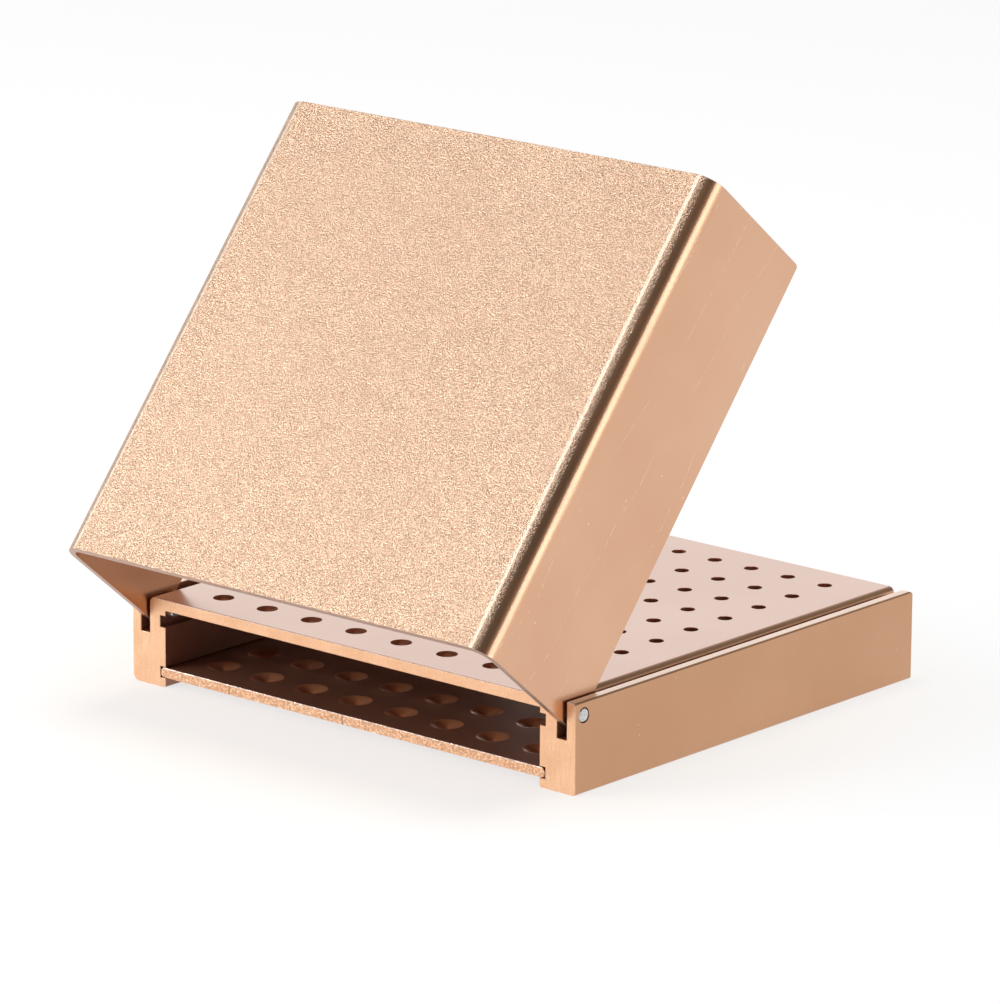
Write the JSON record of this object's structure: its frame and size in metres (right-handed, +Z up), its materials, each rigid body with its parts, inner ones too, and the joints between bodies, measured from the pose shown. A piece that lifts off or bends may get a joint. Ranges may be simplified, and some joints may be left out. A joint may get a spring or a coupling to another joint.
{
  "type": "dental bur holder box",
  "caption": "Free-standing aluminium box for dental burs: a slotted base with a drilled top plate, a dimpled tray that slides under it, and a folded lid hinged on two pins.",
  "frame": {"origin": "on the table, under the middle of the box that holds every piece in the rest pose", "axes": "+X to the right seen from the hinge end; +Y from the hinge end to the far end, level along the base; +Z up. The rest pose is the picture's, with the lid opened 50 degrees."},
  "size_m": [0.0684, 0.0758, 0.0667],
  "materials": {
    "base_aluminium": "satin anodised, pale copper",
    "tray_aluminium": "satin anodised, pale copper",
    "lid_aluminium": "blasted and anodised, pale copper",
    "pin_steel": "turned"
  },
  "bodies": {
    "box": {"base": "base_aluminium", "hinge_pin_left": "pin_steel", "hinge_pin_right": "pin_steel"},
    "lid": {"lid": "lid_aluminium"},
    "tray": {"tray": "tray_aluminium"}
  },
  "joints": [
    {"name": "lid_hinge", "type": "hinge", "parent": "box", "child": "lid", "pos_m": [0, -0.02264, 0.0092], "axis": [1, 0, 0], "range_deg": [-51.2, 64]},
    {"name": "tray_slide", "type": "slide", "parent": "box", "child": "tray", "axis": [0, 1, 0], "range_m": [0, 0.062]}
  ]
}
